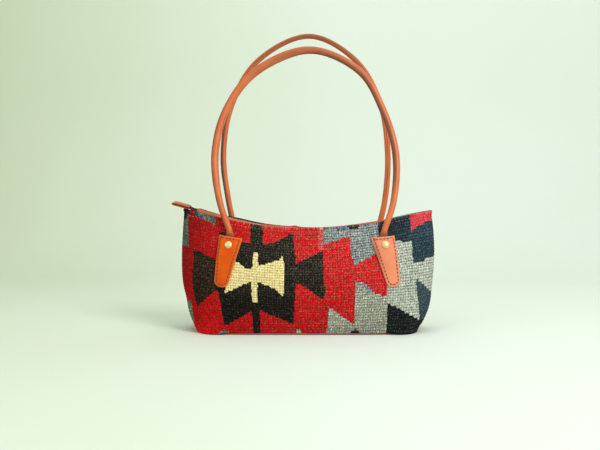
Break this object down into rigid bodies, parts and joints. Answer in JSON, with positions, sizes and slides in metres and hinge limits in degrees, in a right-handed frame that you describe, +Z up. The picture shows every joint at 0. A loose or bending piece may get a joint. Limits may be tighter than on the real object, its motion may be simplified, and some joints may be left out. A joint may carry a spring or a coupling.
{
  "type": "kilim baguette bag",
  "caption": "Small boat-shaped handbag of flat-woven wool with a leather base, zipped mouth and rolled leather handles riveted under sewn tabs.",
  "frame": {"origin": "middle of the underside of the leather base", "axes": "+X along the mouth towards the closed end of the zip, +Y to the back, +Z up"},
  "size_m": [0.3517, 0.1045, 0.4071],
  "materials": {
    "kilim_wool": "flat-woven wool in fields of red, charcoal, cream, grey and navy",
    "tan_leather": "smooth tan leather with a light grain",
    "handle_leather": "rolled brown leather with a sewn seam",
    "lining_cotton": "plain cotton",
    "zip_tape": "woven dark maroon tape",
    "zip_coil": "nylon coil",
    "brass": "polished brass with light wear"
  },
  "bodies": {
    "bag": {"front_panel": "kilim_wool", "back_panel": "kilim_wool", "base_panel": "tan_leather", "lining": "lining_cotton", "front_facing": "tan_leather", "back_facing": "tan_leather", "front_zip_tape": "zip_tape", "back_zip_tape": "zip_tape", "front_zip_coil": "zip_coil", "back_zip_coil": "zip_coil", "front_top_stop": "brass", "back_top_stop": "brass", "zip_bottom_stop": "brass", "zip_end_tab": "tan_leather", "front_left_tab": "tan_leather", "front_left_handle_end": "handle_leather", "front_left_rivet_cap": "brass", "front_left_rivet_post": "brass", "front_right_tab": "tan_leather", "front_right_handle_end": "handle_leather", "front_right_rivet_cap": "brass", "front_right_rivet_post": "brass", "back_left_tab": "tan_leather", "back_left_handle_end": "handle_leather", "back_left_rivet_cap": "brass", "back_left_rivet_post": "brass", "back_right_tab": "tan_leather", "back_right_handle_end": "handle_leather", "back_right_rivet_cap": "brass", "back_right_rivet_post": "brass"},
    "slider": {"zip_slider": "brass"},
    "pull": {"zip_pull": "brass"},
    "front_handle": {"front_handle": "handle_leather"},
    "back_handle": {"back_handle": "handle_leather"}
  },
  "joints": [
    {"name": "zip_travel", "type": "hinge", "parent": "bag", "child": "slider", "pos_m": [0.035, 0, 0.68757], "axis": [0, 1, 0], "range_deg": [0, 25.3]},
    {"name": "pull_swing", "type": "hinge", "parent": "slider", "child": "pull", "pos_m": [0.1212, 0, 0.14288], "axis": [0, 1, 0], "range_deg": [0, 120]},
    {"name": "front_handle_fold", "type": "hinge", "parent": "bag", "child": "front_handle", "pos_m": [0, -0.03662, 0.13261], "axis": [1, 0, 0], "range_deg": [0, 100], "stiffness_Nm_per_rad": 0.3},
    {"name": "back_handle_fold", "type": "hinge", "parent": "bag", "child": "back_handle", "pos_m": [0, 0.03662, 0.13261], "axis": [-1, 0, 0], "range_deg": [0, 84], "stiffness_Nm_per_rad": 0.3}
  ]
}
